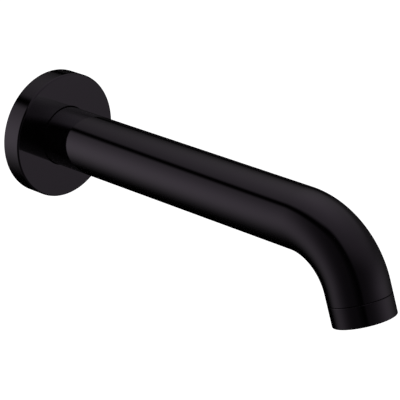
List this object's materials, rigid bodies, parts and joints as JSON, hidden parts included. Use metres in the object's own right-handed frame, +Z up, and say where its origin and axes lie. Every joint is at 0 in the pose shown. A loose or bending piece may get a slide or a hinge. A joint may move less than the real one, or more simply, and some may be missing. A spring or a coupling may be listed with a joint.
{
  "type": "bath spout",
  "caption": "Wall-mounted bath spout: a round flange, a straight tube that bends down to the bath, and a ring outlet with a honeycomb flow straightener.",
  "frame": {"origin": "where the axis of the inlet nipple meets the wall plane, at the middle of the flange's back", "axes": "+Y into the wall along the inlet thread, so the spout stands out along -Y; +Z up; +X to the right of someone who faces the wall"},
  "size_m": [0.064, 0.2361, 0.0747],
  "materials": {
    "black_finish": "gloss black over polished brass",
    "bare_brass": "turned, unplated",
    "steel": "plain stainless",
    "seal_rubber": "moulded, matt",
    "seal_foam": "closed-cell foam",
    "straightener_plastic": "moulded, satin"
  },
  "bodies": {
    "root": {"wall_flange": "black_finish", "wall_seal": "seal_foam", "flange_grip_ring": "seal_rubber", "spout_tube": "black_finish", "inlet_sleeve": "bare_brass", "wall_nipple": "bare_brass", "nipple_seal_front": "seal_rubber", "nipple_seal_rear": "seal_rubber", "grub_screw": "steel", "outlet_ring": "black_finish", "spigot_seal": "seal_rubber", "straightener_housing": "straightener_plastic", "honeycomb_insert": "straightener_plastic", "straightener_washer": "seal_rubber"}
  },
  "joints": []
}
